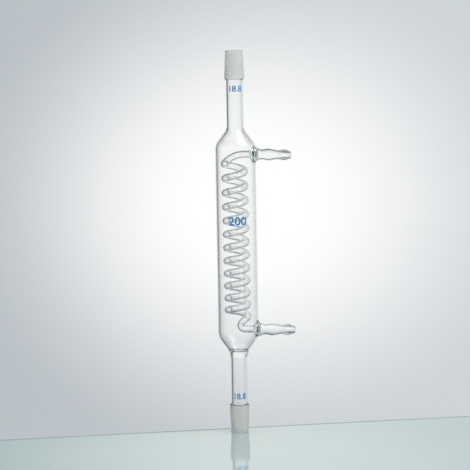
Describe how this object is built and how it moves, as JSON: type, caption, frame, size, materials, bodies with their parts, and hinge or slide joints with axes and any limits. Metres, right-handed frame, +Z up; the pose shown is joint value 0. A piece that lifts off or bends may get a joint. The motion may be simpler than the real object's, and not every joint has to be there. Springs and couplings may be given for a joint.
{
  "type": "coil condenser",
  "caption": "Glass coil condenser: a plain jacket around a cooling coil, a ground cone at each end and two hose connectors on one side.",
  "frame": {"origin": "centre of the lower ground cone's end face", "axes": "+Z up along the jacket's axis, +X along the lower hose connector, +Y to the left of it seen from above"},
  "size_m": [0.0732, 0.038, 0.3588],
  "materials": {
    "clear_glass": "clear borosilicate glass",
    "coil_glass": "clear borosilicate glass",
    "seal_glass": "thick clear glass with a green tint",
    "ground_glass": "ground, frosted glass"
  },
  "bodies": {
    "root": {"lower_ground_cone": "ground_glass", "lower_neck": "clear_glass", "lower_neck_seal": "seal_glass", "lower_shoulder": "clear_glass", "jacket_tube": "clear_glass", "upper_shoulder": "clear_glass", "upper_neck": "clear_glass", "upper_ground_cone": "ground_glass", "lower_ring_seal": "seal_glass", "lower_hose_connector": "clear_glass", "upper_ring_seal": "seal_glass", "upper_hose_connector": "clear_glass", "cooling_coil": "coil_glass", "upper_coil_lead": "coil_glass", "lower_coil_lead": "coil_glass"}
  },
  "joints": []
}
